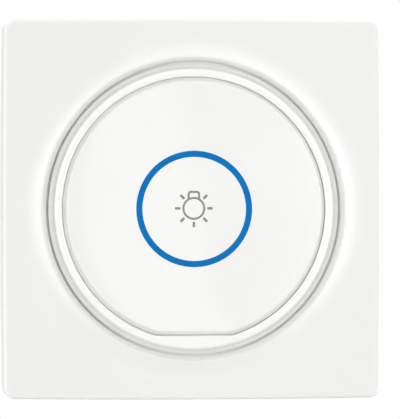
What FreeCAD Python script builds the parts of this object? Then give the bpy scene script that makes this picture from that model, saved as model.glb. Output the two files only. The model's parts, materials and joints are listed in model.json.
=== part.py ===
import FreeCAD
import Part

import math
import os

# Wireless remote wall switch: a square cover frame with a flared round opening, a bezel ring in
# that opening, and a round button with one flat that rocks on two trunnions at its top and
# presses a tactile switch on a coin-cell radio board. The frame snaps over a wall base.
#
# The model is drawn lying on its back, in millimetres: X to the right, Y up and Z out into the
# room, with Z = 0 on the wall. The export turns it upright, so that the front faces -Y.

# Cover frame
plate_side = 86.0            # across the middle of the sides
side_bow = 0.3               # how far each side bows out at its middle
corner_radius = 2.7
edge_bevel = 0.6
frame_wall = 1.8
field_height = 9.6           # flat front of the frame, above the wall
skirt_gap = 0.6              # from the wall to the frame's back edge
opening_radius = 33.1
lip_bevel = 1.3              # slanted lip at the mouth of the opening
rim_rise = 1.5               # crest of the rim above the flat front
flare_width = 5.0            # from the crest to where the flare runs out
pry_width = 12.0             # notch in the lower edge, for lifting the frame off
pry_height = 1.4

# Bezel ring
groove_gap = 0.25            # shadow line between frame and bezel
bezel_width = 3.0
bezel_proud = 0.3            # bezel above the frame's crest
bezel_thickness = 3.0
bezel_ledge = 0.75           # width of the ledge along the outer edge
bezel_ledge_drop = 0.4       # how far the ledge falls towards that edge
bezel_step = 0.8             # top of the bezel above the ledge
bezel_slope = 0.8            # width of the slope between them
leg_width = 6.0              # four legs that carry the ring on the base
leg_thickness = 1.5
leg_inset = 0.3              # legs stand in from the ring's outer edge
lug_reach = 1.9              # lugs on the legs, behind the frame's front
lug_height = 1.2

# Button
button_gap = 0.3
button_proud = 0.3           # button face above the bezel
button_flat_inset = 1.5      # the flat cuts this far into the disc
button_thickness = 1.6
button_depth = 2.2           # face to the edge of the skirt
button_skirt_wall = 1.2
button_edge_bevel = 0.8
flat_corner_radius = 1.4     # where the flat meets the round edge
ring_inner_radius = 11.7     # blue ring let into the face
ring_width = 1.4
ring_depth = 0.5
inlay_clearance = 0.02
rib_width = 1.0
rib_height = 0.8

# Hinge and stops of the button
pin_radius = 1.1
pin_clearance = 0.05
pin_length = 2.7
pin_entry_clearance = 0.5    # pin to bezel edge as the button snaps in
ear_width = 2.0
ear_offset = 10.6            # inner face of the button's hinge ears
ear_round = 1.6
hinge_height = 6.6           # hinge axis above the wall
cradle_width = 2.4
cradle_side_gap = 0.3
cradle_wall = 1.3
cradle_mouth = 1.9           # snap-in slot, narrower than the pin
hook_offset = 11.0           # middle of the stop hooks
hook_width = 3.0
hook_thickness = 1.2
hook_inset = 2.65            # inner face of a hook's leg from the button's flat
hook_reach = 1.5
hook_height = 1.0
hook_gap = 0.1               # hook under its ledge at rest
ledge_thickness = 1.0
ledge_clearance = 0.5        # ledge edge to the hook's leg

# Wall base
shell_clearance = 0.5        # base inside the frame
pad_size = 40.0
pad_thickness = 0.8
pad_proud = 0.4              # pad behind the base
pad_corner = 3.0
floor_thickness = 1.6
base_wall = 1.5
base_wall_height = 1.8       # perimeter wall above the floor
base_rib_width = 1.2
base_rib_height = 0.8
base_rib_offset = 19.0       # upright ribs left and right of the board
slot_spacing = 60.3          # wall-box screws
slot_length = 8.0
slot_width = 4.2
snap_offset = 20.0           # snaps from the middle of the left and right sides
snap_length = 8.0
snap_depth = 0.35
snap_height = 0.8
snap_gap = 0.3
seat_rib_offset = 31.0       # frame ribs that stand on the base's wall
seat_rib_width = 1.2
seat_rib_depth = 2.6

# Radio board and its holder in the base
board_width = 31.0
board_top_edge = 20.0
board_bottom_edge = -24.0
board_thickness = 1.2
board_standoff = 1.0
board_clearance = 0.15
rail_width = 2.0             # ledges under the board's long edges
rail_inset = 4.0             # rails stop short of the board's corners
fence_thickness = 1.2        # walls beside the board
fence_length = 10.0
catch_length = 5.0           # catches over the board's long edges
catch_reach = 0.5
catch_height = 0.8
catch_gap = 0.05

# Tactile switch
switch_size = 6.0
switch_height = 3.2          # board to the top of the cover
switch_centre = 6.0          # above the middle of the button
switch_travel = 0.3
switch_floor = 0.8
switch_cover = 0.3
stem_radius = 1.75
stem_clearance = 0.08
stem_flange_width = 4.2
stem_flange = 0.7
stem_play = 0.02             # flange under the cover, and leaf under the flange
well_clearance = 0.2
actuation_gap = 0.05         # button post over the stem at rest
post_radius = 2.0            # post under the button, over the stem
post_length = 0.85
leaf_length = 4.0            # arched snap leaf under the stem
leaf_crown = 1.4
leaf_width = 2.4
leaf_thickness = 0.12
terminal_width = 0.7
terminal_thickness = 0.25
terminal_foot = 1.3
terminal_shin = 1.6
terminal_spacing = 4.5

# Battery
cell_radius = 10.0
cell_height = 3.2
cell_cap_radius = 8.8
cell_cap_step = 0.3
cell_centre = -10.0          # below the middle of the button
contact_length = 9.0
contact_width = 5.0
contact_thickness = 0.2
contact_slit = 0.8
clip_width = 7.0
clip_thickness = 0.3
clip_side_gap = 0.4
clip_foot = 1.8
clip_window_length = 8.0
clip_window_width = 3.0

# Radio parts
antenna_radius = 2.0         # outside of the coil
antenna_wire = 0.5
antenna_turns = 5
antenna_pitch = 3.0
antenna_facets = 8           # straight pieces in one turn
antenna_offset = 12.6
antenna_start = -16.5
antenna_lift = 0.2
chip_x = -7.5
chip_y = 13.2
chip_length = 4.9
chip_width = 3.9
chip_height = 1.45
chip_lift = 0.12
chip_pitch = 1.27
chip_leg_width = 0.45
chip_leg_reach = 1.05
chip_leg_height = 0.25
crystal_x = 5.0
crystal_y = 12.6
crystal_length = 5.0
crystal_width = 3.2
crystal_height = 1.2
crystal_base = 0.5           # ceramic tray under the lid
crystal_rim = 0.25
transistor_x = 8.2
transistor_y = 6.4
transistor_length = 2.9
transistor_width = 1.3
transistor_height = 1.0
transistor_lift = 0.1
transistor_leg_width = 0.4
transistor_leg_reach = 0.55
transistor_leg_height = 0.15
transistor_leg_pitch = 0.95
led_angle = 160.0            # round the button's middle, under the blue ring
led_length = 2.0
led_width = 1.25
led_height = 0.8
led_lens_length = 1.3
passive_length = 1.6
passive_width = 0.8
passive_pitch = 2.0
passive_x = -13.4
resistor_y = -13.0
resistor_count = 4
resistor_height = 0.45
capacitor_y = -4.0
capacitor_count = 4
capacitor_height = 0.8

# Heights and radii that follow from the sizes above
half_side = plate_side / 2
cavity_half = half_side - frame_wall
cavity_corner = max(corner_radius - frame_wall, frame_wall / 3)
ceiling = field_height - frame_wall
rim_height = field_height + rim_rise
crest_radius = opening_radius + lip_bevel
flare_radius = crest_radius + flare_width

bezel_outer = opening_radius - groove_gap
bezel_inner = bezel_outer - bezel_width
bezel_top = rim_height + bezel_proud
bezel_under = bezel_top - bezel_thickness

button_radius = bezel_inner - button_gap
button_flat = button_radius - button_flat_inset
button_face = bezel_top + button_proud
button_under = button_face - button_thickness
button_edge = button_face - button_depth
ring_outer_radius = ring_inner_radius + ring_width

pin_start = ear_offset + ear_width
pin_end = pin_start + pin_length
hinge_y = math.sqrt(bezel_inner**2 - pin_end**2) - pin_radius - pin_entry_clearance
hook_inner = -button_flat + hook_inset
hook_outer = hook_inner - hook_thickness
ledge_under = bezel_under - ledge_thickness
hook_top = ledge_under - hook_gap

floor_top = pad_proud + floor_thickness
base_half = cavity_half - shell_clearance
base_top = floor_top + base_wall_height
lug_bottom = base_top - snap_height
ridge_bottom = lug_bottom - snap_gap - snap_height

board_half = board_width / 2
board_bottom = floor_top + board_standoff
board_top = board_bottom + board_thickness
switch_top = board_top + switch_height
stem_top = button_under - post_length - actuation_gap
well_floor = board_top + switch_floor
flange_top = switch_top - switch_cover - stem_play
flange_bottom = flange_top - stem_flange
cell_bottom = board_top + contact_thickness
cell_top = cell_bottom + cell_height

far = 2 * plate_side         # past everything, for cutting tools
sink = 0.5                   # how far a fused feature reaches into its carrier
origin = FreeCAD.Vector(0, 0, 0)
x_axis = FreeCAD.Vector(1, 0, 0)
z_axis = FreeCAD.Vector(0, 0, 1)


def block(x0, x1, y0, y1, z0, z1):
    low = FreeCAD.Vector(min(x0, x1), min(y0, y1), min(z0, z1))
    return Part.makeBox(abs(x1 - x0), abs(y1 - y0), abs(z1 - z0), low)


def rod(radius, z0, z1, x=0.0, y=0.0):
    return Part.makeCylinder(radius, z1 - z0, FreeCAD.Vector(x, y, z0), z_axis)


def rod_across(radius, x0, x1, y, z):
    return Part.makeCylinder(radius, x1 - x0, FreeCAD.Vector(x0, y, z), x_axis)


def tube(outer, inner, z0, z1):
    return rod(outer, z0, z1).cut(rod(inner, z0, z1))


def joined(shapes):
    return shapes[0].multiFuse(shapes[1:]).removeSplitter()


def without(shape, tools):
    for tool in tools:
        shape = shape.cut(tool)
    return shape


def mirrored(shape):
    """The same piece on the left-hand side."""
    return shape.mirror(origin, x_axis)


def turned(section):
    """Solid of revolution from the corners (radius, height) of its section."""
    corners = [FreeCAD.Vector(r, 0, z) for r, z in section + section[:1]]
    return Part.Face(Part.makePolygon(corners)).revolve(origin, z_axis, 360)


def extruded_across(section, x0, x1):
    """Solid of one section (y, z) running along X."""
    corners = [FreeCAD.Vector(x0, y, z) for y, z in section + section[:1]]
    return Part.Face(Part.makePolygon(corners)).extrude(FreeCAD.Vector(x1 - x0, 0, 0))


def round_points(centre, radius, start, end, chords):
    """Points (radius, height) along a round of a section, from one angle in degrees to another."""
    angles = [math.radians(start + (end - start) * k / chords) for k in range(chords + 1)]
    return [(centre[0] + radius * math.cos(a), centre[1] + radius * math.sin(a)) for a in angles]


def upright_edges(shape, lowest=None):
    """Edges along Z, or only those whose Y is no higher than lowest."""
    found = []
    for edge in shape.Edges:
        a, b = edge.Vertexes[0].Point, edge.Vertexes[-1].Point
        stands = math.hypot(a.x - b.x, a.y - b.y) < 1e-6 and abs(a.z - b.z) > 1e-6
        if stands and (lowest is None or a.y < lowest + 1e-3):
            found.append(edge)
    return found


def level_edges(shape, height):
    """Edges that lie in the plane Z = height."""
    boxes = [(edge, edge.BoundBox) for edge in shape.Edges]
    return [e for e, box in boxes if max(abs(box.ZMin - height), abs(box.ZMax - height)) < 1e-5]


def pillow(half, corner, z0, z1):
    """Square block whose sides bow outward, with rounded corners."""
    end = half - side_bow
    side = [FreeCAD.Vector(-end, -end, z0), FreeCAD.Vector(0, -half, z0), FreeCAD.Vector(end, -end, z0)]
    edges = []
    for turn in range(4):
        rotation = FreeCAD.Rotation(z_axis, 90 * turn)
        edges.append(Part.Arc(*[rotation.multVec(p) for p in side]).toShape())
    solid = Part.Face(Part.Wire(edges)).extrude(FreeCAD.Vector(0, 0, z1 - z0))
    return solid.makeFillet(corner, upright_edges(solid))


def flat_sided_disc(radius, flat, corner, z0, z1):
    """Disc with one flat at the bottom and rounded corners where the flat meets the edge."""
    disc = rod(radius, z0, z1).cut(block(-far, far, -far, -flat, z0, z1))
    return disc.makeFillet(corner, upright_edges(disc, lowest=-flat))


def rounded_slab(half_x, y0, y1, z0, z1, corner):
    slab = block(-half_x, half_x, y0, y1, z0, z1)
    return slab.makeFillet(corner, upright_edges(slab))


def obround(x, y, length, width, z0, z1):
    reach = (length - width) / 2
    ends = [rod(width / 2, z0, z1, x - reach, y), rod(width / 2, z0, z1, x + reach, y)]
    return joined([block(x - reach, x + reach, y - width / 2, y + width / 2, z0, z1)] + ends)


def front_cutter():
    """Everything in front of the frame, and its opening: lip, crest, concave flare and flat field."""
    flare_round = (flare_width**2 + rim_rise**2) / (2 * rim_rise)
    flare_centre = (flare_radius, field_height + flare_round)
    steepest = 2 * math.degrees(math.atan2(rim_rise, flare_width))
    section = [(0, far), (0, -far), (opening_radius, -far), (opening_radius, rim_height - lip_bevel)]
    section += round_points(flare_centre, flare_round, 270 - steepest, 270, 2)
    return turned(section + [(far, field_height), (far, far)])


def seat_ribs():
    """Ribs inside the frame's walls, two on each side, that stand on the base's wall."""
    ribs = []
    for turn in range(4):
        for y in (-seat_rib_offset, seat_rib_offset):
            rib = block(cavity_half - seat_rib_depth, half_side - frame_wall / 2, y - seat_rib_width / 2,
                        y + seat_rib_width / 2, base_top, ceiling + sink)
            rib.rotate(origin, z_axis, 90 * turn)
            ribs.append(rib)
    return ribs


def snaps(inside, outside, z0):
    """Four short ridges on the left and right sides, between two distances from the middle."""
    ridges = []
    for y in (-snap_offset, snap_offset):
        ridge = block(inside, outside, y - snap_length / 2, y + snap_length / 2, z0, z0 + snap_height)
        ridges += [ridge, mirrored(ridge)]
    return ridges


def front_frame():
    body = pillow(half_side, corner_radius, skirt_gap, field_height)
    body = body.makeChamfer(edge_bevel, level_edges(body, field_height))
    rim = rod(flare_radius, ceiling, rim_height).cut(front_cutter())
    body = body.cut(rod(flare_radius, ceiling, field_height)).fuse(rim)
    body = body.cut(pillow(cavity_half, cavity_corner, skirt_gap - sink, ceiling))
    ridges = snaps(cavity_half - snap_depth, half_side - frame_wall / 2, ridge_bottom)
    notch = block(-pry_width / 2, pry_width / 2, -far, -cavity_half + sink, 0, skirt_gap + pry_height)
    return joined([body] + seat_ribs() + ridges).cut(notch)


def bezel_leg(turn):
    """Leg on the base's floor, with a lug behind the frame's front."""
    outside = bezel_outer - leg_inset
    leg = block(outside - leg_thickness, outside, -leg_width / 2, leg_width / 2, floor_top,
                bezel_under + leg_inset)
    lug = block(outside - sink, bezel_outer + lug_reach, -leg_width / 2, leg_width / 2,
                ceiling - lug_height, ceiling)
    leg = joined([leg, lug])
    leg.rotate(origin, z_axis, turn)
    return leg


def hinge_cradle():
    """Open bearing for the right-hand trunnion, hanging from the bezel."""
    x0 = pin_start + cradle_side_gap
    x1 = x0 + cradle_width
    bore = pin_radius + pin_clearance
    body = block(x0, x1, hinge_y - bore - cradle_wall, bezel_outer, hinge_height - bore - cradle_wall,
                 bezel_under + sink)
    bearing = rod_across(bore, x0 - sink, x1 + sink, hinge_y, hinge_height)
    mouth = block(x0 - sink, x1 + sink, hinge_y - cradle_mouth / 2, hinge_y + cradle_mouth / 2,
                  hinge_height, far)
    return without(body, [bearing, mouth])


def stop_ledge():
    """Ledge over the right-hand hook, at the bottom of the bezel."""
    half = hook_width / 2 + ledge_clearance
    return block(hook_offset - half, hook_offset + half, -bezel_outer, hook_outer - ledge_clearance,
                 ledge_under, bezel_under + sink)


def bezel_ring():
    ledge_inner = bezel_outer - bezel_ledge
    ledge_top = bezel_top - bezel_step
    ring = turned([(0, bezel_under), (bezel_outer, bezel_under), (bezel_outer, ledge_top - bezel_ledge_drop),
                   (ledge_inner, ledge_top), (ledge_inner - bezel_slope, bezel_top), (0, bezel_top)])
    inner = rod(bezel_outer - leg_inset, floor_top, bezel_under + leg_inset)
    carried = []
    for feature in (hinge_cradle(), stop_ledge()):
        kept = feature.common(inner)
        carried += [kept, mirrored(kept)]
    opening = flat_sided_disc(bezel_inner, button_flat + button_gap, flat_corner_radius, bezel_under, far)
    disc = joined([ring] + carried + [bezel_leg(45 + 90 * k) for k in range(4)])
    return disc.cut(opening)


def button_hook():
    tip = hook_outer - hook_reach
    section = [(hook_inner, button_under + sink), (hook_inner, hook_top - hook_height),
               (hook_outer, hook_top - hook_height), (tip, hook_top - hook_height / 2), (tip, hook_top),
               (hook_outer, hook_top), (hook_outer, button_under + sink)]
    return extruded_across(section, hook_offset - hook_width / 2, hook_offset + hook_width / 2)


def button_ear():
    """Hinge plate under the button with its trunnion."""
    plate = block(ear_offset, pin_start, hinge_y - ear_round, hinge_y + ear_round, hinge_height,
                  button_under + sink)
    tip = rod_across(ear_round, ear_offset, pin_start, hinge_y, hinge_height)
    pin = rod_across(pin_radius, pin_start - sink, pin_end, hinge_y, hinge_height)
    return joined([plate, tip, pin])


def button_cap():
    cap = flat_sided_disc(button_radius, button_flat, flat_corner_radius, button_edge, button_face)
    cap = cap.makeChamfer(button_edge_bevel, level_edges(cap, button_face))
    hollow = flat_sided_disc(button_radius - button_skirt_wall, button_flat - button_skirt_wall,
                             flat_corner_radius, button_edge, button_under)
    groove = tube(ring_outer_radius, ring_inner_radius, button_face - ring_depth, button_face)
    rib_x = ear_offset + ear_width / 2
    rib_bottom = button_under - rib_height
    upright_rib = block(rib_x - rib_width / 2, rib_x + rib_width / 2, hook_inner, hinge_y,
                        rib_bottom, button_under + sink)
    cross_rib = block(-rib_x, rib_x, switch_centre - rib_width / 2, switch_centre + rib_width / 2,
                      rib_bottom, button_under + sink)
    pieces = [without(cap, [hollow, groove]), cross_rib]
    pieces.append(rod(post_radius, stem_top + actuation_gap, button_under + sink, 0, switch_centre))
    for feature in (upright_rib, button_hook(), button_ear()):
        pieces += [feature, mirrored(feature)]
    return joined(pieces)


def blue_ring():
    return tube(ring_outer_radius - inlay_clearance, ring_inner_radius + inlay_clearance,
                button_face - ring_depth, button_face)


def board_holder():
    """Rails, fences and catches in the base that hold the board by its edges."""
    edge = board_half + board_clearance
    rail = block(board_half - rail_width, edge, board_bottom_edge + rail_inset, board_top_edge - rail_inset,
                 floor_top - sink, board_bottom)
    fence = block(edge, edge + fence_thickness, -fence_length / 2, fence_length / 2, floor_top - sink,
                  board_top + catch_gap + catch_height)
    catch = block(board_half - catch_reach, edge + fence_thickness, -catch_length / 2, catch_length / 2,
                  board_top + catch_gap, board_top + catch_gap + catch_height)
    pieces = []
    for feature in (rail, fence, catch):
        pieces += [feature, mirrored(feature)]
    for near, away in ((board_top_edge, 1), (board_bottom_edge, -1)):
        inside = near + away * board_clearance
        pieces.append(block(-fence_length / 2, fence_length / 2, inside, inside + away * fence_thickness,
                            floor_top - sink, board_top))
    return pieces


def base_plate():
    shell = pillow(base_half, cavity_corner, pad_proud, base_top)
    tray = pillow(base_half - base_wall, cavity_corner, floor_top, base_top)
    rib = block(base_rib_offset - base_rib_width / 2, base_rib_offset + base_rib_width / 2,
                -base_half + base_wall / 2, base_half - base_wall / 2, floor_top - sink,
                floor_top + base_rib_height)
    lugs = snaps(base_half - base_wall / 2, base_half + snap_depth, lug_bottom)
    body = joined([shell.cut(tray), rib, mirrored(rib)] + lugs + board_holder())
    recess = rounded_slab(pad_size / 2, -pad_size / 2, pad_size / 2, 0, pad_thickness, pad_corner)
    slot = obround(slot_spacing / 2, 0, slot_length, slot_width, 0, floor_top)
    return without(body, [recess, slot, mirrored(slot)])


def adhesive_pad():
    half = pad_size / 2 - inlay_clearance
    return rounded_slab(half, -half, half, 0, pad_thickness, pad_corner)


def circuit_board():
    return block(-board_half, board_half, board_bottom_edge, board_top_edge, board_bottom, board_top)


def switch_block(size, z0, z1):
    """Square block on the switch's axis."""
    half = size / 2
    return block(-half, half, switch_centre - half, switch_centre + half, z0, z1)


def tact_base():
    well = switch_block(stem_flange_width + 2 * well_clearance, well_floor, switch_top)
    return switch_block(switch_size, board_top, switch_top - switch_cover).cut(well)


def tact_cover():
    hole = rod(stem_radius + stem_clearance, board_top, switch_top, 0, switch_centre)
    return switch_block(switch_size, switch_top - switch_cover, switch_top).cut(hole)


def tact_stem():
    flange = switch_block(stem_flange_width, flange_bottom, flange_top)
    return joined([flange, rod(stem_radius, flange_bottom, stem_top, 0, switch_centre)])


def snap_leaf():
    """Arched leaf that stands on the floor of the switch and carries the stem."""
    crown = flange_bottom - stem_play
    half = [(leaf_crown / 2, crown), (leaf_length / 2, well_floor),
            (leaf_length / 2 - leaf_thickness, well_floor),
            (leaf_crown / 2 - leaf_thickness, crown - leaf_thickness)]
    section = half + [(-y, z) for y, z in reversed(half)]
    return extruded_across([(y + switch_centre, z) for y, z in section], -leaf_width / 2, leaf_width / 2)


def tact_terminals():
    """Four bent strips that stand against the switch body and lie on the board."""
    half = switch_size / 2
    feet = []
    for y in (-terminal_spacing / 2, terminal_spacing / 2):
        y0 = switch_centre + y - terminal_width / 2
        shin = block(half, half + terminal_thickness, y0, y0 + terminal_width, board_top,
                     board_top + terminal_shin)
        foot = block(half, half + terminal_foot, y0, y0 + terminal_width, board_top,
                     board_top + terminal_thickness)
        strip = joined([shin, foot])
        feet += [strip, mirrored(strip)]
    return Part.makeCompound(feet)


def coin_cell():
    cap = rod(cell_cap_radius, cell_bottom, cell_bottom + cell_cap_step, 0, cell_centre)
    can = rod(cell_radius, cell_bottom + cell_cap_step, cell_top, 0, cell_centre)
    return joined([cap, can])


def negative_contact():
    """Flat strip under the cell, slit into two fingers."""
    half_l, half_w = contact_length / 2, contact_width / 2
    strip = block(-half_w, half_w, cell_centre - half_l, cell_centre + half_l, board_top, cell_bottom)
    slit = block(-contact_slit / 2, contact_slit / 2, cell_centre - half_w, cell_centre + half_l,
                 board_top, cell_bottom)
    return strip.cut(slit)


def battery_clip():
    """Stamped hoop over the cell: foot, leg, bridge, leg and foot, with a window in the bridge."""
    reach = cell_radius + clip_side_gap
    outside = reach + clip_thickness
    toe = reach + clip_foot
    foot_top = board_top + clip_thickness
    bridge_top = cell_top + clip_thickness
    half = [(reach, cell_top), (reach, board_top), (toe, board_top), (toe, foot_top), (outside, foot_top),
            (outside, bridge_top)]
    section = half + [(-y, z) for y, z in reversed(half)]
    hoop = extruded_across([(y + cell_centre, z) for y, z in section], -clip_width / 2, clip_width / 2)
    window = block(-clip_window_width / 2, clip_window_width / 2, cell_centre - clip_window_length / 2,
                   cell_centre + clip_window_length / 2, cell_top, bridge_top)
    return hoop.cut(window)


def spring_antenna():
    """Coil of straight pieces of wire, lying along the board's right edge."""
    radius = antenna_radius - antenna_wire / 2
    steps = antenna_turns * antenna_facets
    height = board_top + antenna_lift + antenna_radius
    path = []
    for k in range(steps + 1):
        a = 2 * math.pi * k / antenna_facets
        path.append(FreeCAD.Vector(antenna_offset + radius * math.cos(a),
                                   antenna_start + antenna_pitch * k / antenna_facets,
                                   height + radius * math.sin(a)))
    along = path[1].sub(path[0]).normalize()
    outward = x_axis
    across = along.cross(outward).normalize()
    half = antenna_wire / 2
    signs = ((-1, -1), (1, -1), (1, 1), (-1, 1), (-1, -1))
    section = Part.makePolygon([path[0] + outward * (half * a) + across * (half * b) for a, b in signs])
    return Part.makePolygon(path).makePipeShell([section], True, False, 1)


def encoder_chip():
    half_l, half_w = chip_length / 2, chip_width / 2
    pieces = [block(chip_x - half_w, chip_x + half_w, chip_y - half_l, chip_y + half_l,
                    board_top + chip_lift, board_top + chip_height)]
    for side in (-1, 1):
        for k in range(4):
            y = chip_y + (k - 1.5) * chip_pitch
            pieces.append(block(chip_x + side * (half_w - sink), chip_x + side * (half_w + chip_leg_reach),
                                y - chip_leg_width / 2, y + chip_leg_width / 2,
                                board_top, board_top + chip_leg_height))
    return joined(pieces)


def crystal_can():
    """Ceramic tray with a metal lid."""
    half_l, half_w = crystal_length / 2, crystal_width / 2
    tray = block(crystal_x - half_l, crystal_x + half_l, crystal_y - half_w, crystal_y + half_w,
                 board_top, board_top + crystal_base)
    half_l -= crystal_rim
    half_w -= crystal_rim
    lid = block(crystal_x - half_l, crystal_x + half_l, crystal_y - half_w, crystal_y + half_w,
                board_top, board_top + crystal_height)
    return joined([tray, lid])


def transmit_transistor():
    half_l, half_w = transistor_length / 2, transistor_width / 2
    body = block(transistor_x - half_l, transistor_x + half_l, transistor_y - half_w, transistor_y + half_w,
                 board_top + transistor_lift, board_top + transistor_height)
    legs = []
    for across, side in ((-transistor_leg_pitch, -1), (transistor_leg_pitch, -1), (0, 1)):
        x = transistor_x + across
        legs.append(block(x - transistor_leg_width / 2, x + transistor_leg_width / 2, transistor_y,
                          transistor_y + side * (half_w + transistor_leg_reach),
                          board_top, board_top + transistor_leg_height))
    return joined([body] + legs)


def indicator_led():
    middle = (ring_inner_radius + ring_outer_radius) / 2
    x = middle * math.cos(math.radians(led_angle))
    y = middle * math.sin(math.radians(led_angle))
    half_w = led_width / 2
    base = block(x - led_length / 2, x + led_length / 2, y - half_w, y + half_w,
                 board_top, board_top + led_height / 2)
    lens = block(x - led_lens_length / 2, x + led_lens_length / 2, y - half_w, y + half_w,
                 board_top, board_top + led_height)
    return joined([base, lens])


def chip_column(y, count, height):
    """Small surface-mounted parts, one above the other along the board's left edge."""
    half_l, half_w = passive_length / 2, passive_width / 2
    middles = [y + k * passive_pitch for k in range(count)]
    return Part.makeCompound([block(passive_x - half_l, passive_x + half_l, m - half_w, m + half_w,
                                    board_top, board_top + height) for m in middles])


def export(name, shape):
    """Turns a piece upright, front to -Y, and writes it."""
    upright = shape.copy()
    upright.rotate(origin, x_axis, 90)
    upright.exportStep(os.path.join("parts", name + ".step"))
    state = "valid" if shape.isValid() else "not valid"
    print(name, len(shape.Solids), "solids", round(shape.Volume, 3), "mm3", state)


def main():
    os.makedirs("parts", exist_ok=True)
    export("front_frame", front_frame())
    export("bezel_ring", bezel_ring())
    export("button_cap", button_cap())
    export("blue_ring", blue_ring())
    export("base_plate", base_plate())
    export("adhesive_pad", adhesive_pad())
    export("circuit_board", circuit_board())
    export("tact_base", tact_base())
    export("tact_cover", tact_cover())
    export("tact_stem", tact_stem())
    export("snap_leaf", snap_leaf())
    export("tact_terminals", tact_terminals())
    export("coin_cell", coin_cell())
    export("negative_contact", negative_contact())
    export("battery_clip", battery_clip())
    export("spring_antenna", spring_antenna())
    export("encoder_chip", encoder_chip())
    export("crystal_can", crystal_can())
    export("transmit_transistor", transmit_transistor())
    export("indicator_led", indicator_led())
    export("chip_resistors", chip_column(resistor_y, resistor_count, resistor_height))
    export("chip_capacitors", chip_column(capacitor_y, capacitor_count, capacitor_height))
    angle = math.degrees(switch_travel / (hinge_y - switch_centre))
    print("hinge", round(hinge_y, 4), "up,", hinge_height, "out, button turns", round(angle, 4), "degrees")


main()
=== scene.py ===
import json
import math

import bmesh
import bpy
import numpy as np
from mathutils import Matrix, Quaternion, Vector


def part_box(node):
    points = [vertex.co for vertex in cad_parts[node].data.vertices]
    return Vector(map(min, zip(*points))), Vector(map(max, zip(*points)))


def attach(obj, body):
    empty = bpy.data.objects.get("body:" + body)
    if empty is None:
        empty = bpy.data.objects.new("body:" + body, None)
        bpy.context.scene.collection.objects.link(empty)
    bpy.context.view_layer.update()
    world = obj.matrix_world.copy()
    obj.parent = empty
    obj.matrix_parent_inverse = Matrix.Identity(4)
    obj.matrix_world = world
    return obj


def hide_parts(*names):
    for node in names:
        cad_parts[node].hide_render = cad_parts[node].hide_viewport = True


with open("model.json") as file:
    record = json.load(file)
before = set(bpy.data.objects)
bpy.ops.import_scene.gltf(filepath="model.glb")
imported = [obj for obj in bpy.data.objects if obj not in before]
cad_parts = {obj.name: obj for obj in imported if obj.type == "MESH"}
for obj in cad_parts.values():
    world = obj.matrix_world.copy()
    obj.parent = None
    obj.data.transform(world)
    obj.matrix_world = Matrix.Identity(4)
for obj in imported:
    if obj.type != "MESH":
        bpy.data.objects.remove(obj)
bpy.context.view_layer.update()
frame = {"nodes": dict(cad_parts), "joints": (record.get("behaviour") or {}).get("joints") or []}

mm = 0.001
scene = bpy.context.scene
print("frame loaded,", len(frame["nodes"]), "nodes")


def boxOf(node):  # lowest and highest corner in millimetres: across, up, out from the wall
    low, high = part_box(node)
    return (low.x / mm, low.z / mm, -high.y / mm), (high.x / mm, high.z / mm, -low.y / mm)


plateLow, plateHigh = boxOf("front_frame")
padLow, padHigh = boxOf("adhesive_pad")
cellLow, cellHigh = boxOf("coin_cell")
boardLow, boardHigh = boxOf("circuit_board")
capHigh = boxOf("button_cap")[1]
inlayHigh = boxOf("blue_ring")[1]
hinge = [joint for joint in frame["joints"] if joint["name"] == "button_press"][0]["pos_m"]
hingeUp = hinge[2] / mm
hingeOut = -hinge[1] / mm


# node trees

def operator(operation, turned=False):  # one arithmetic method; turned puts the other value first
    def applied(self, other=0.0):
        first, second = (other, self) if turned else (self, other)
        return self.graph.maths(operation, first, second)
    return applied


class Value:  # one output socket, with arithmetic
    def __init__(self, graph, socket):
        self.graph = graph
        self.socket = socket

    __add__ = operator("ADD")
    __radd__ = operator("ADD", True)
    __sub__ = operator("SUBTRACT")
    __rsub__ = operator("SUBTRACT", True)
    __mul__ = operator("MULTIPLY")
    __rmul__ = operator("MULTIPLY", True)
    __truediv__ = operator("DIVIDE")
    __rtruediv__ = operator("DIVIDE", True)
    __pow__ = operator("POWER")
    __rpow__ = operator("POWER", True)
    __gt__ = operator("GREATER_THAN")
    __lt__ = operator("LESS_THAN")
    __abs__ = operator("ABSOLUTE")


class Graph:  # a node tree, shader or geometry
    def __init__(self, tree):
        self.tree = tree

    def node(self, kind, settings=None, sockets=None, output=0):
        made = self.tree.nodes.new(kind)
        for name, value in (settings or {}).items():
            setattr(made, name, value)
        for name, value in (sockets or {}).items():
            self.feed(made.inputs[name], value)
        return Value(self, made.outputs[output]) if made.outputs else made

    def feed(self, socket, value):
        if isinstance(value, Value):
            self.tree.links.new(value.socket, socket)
        else:
            socket.default_value = value

    def outputs(self, kind, sockets=None):  # all outputs of a new node, by name
        made = self.node(kind, None, sockets).socket.node
        return {socket.name: Value(self, socket) for socket in made.outputs}

    def maths(self, operation, first, second):
        return self.node("ShaderNodeMath", {"operation": operation}, {0: first, 1: second})

    def mixed(self, share, first, second):  # two colours
        return self.node("ShaderNodeMix", {"data_type": "RGBA"}, {0: share, 6: first, 7: second}, 2)

    def clamped(self, value):
        return self.node("ShaderNodeClamp", None, {0: value})

    def split(self, vector):
        return list(self.outputs("ShaderNodeSeparateXYZ", {0: vector}).values())


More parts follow.
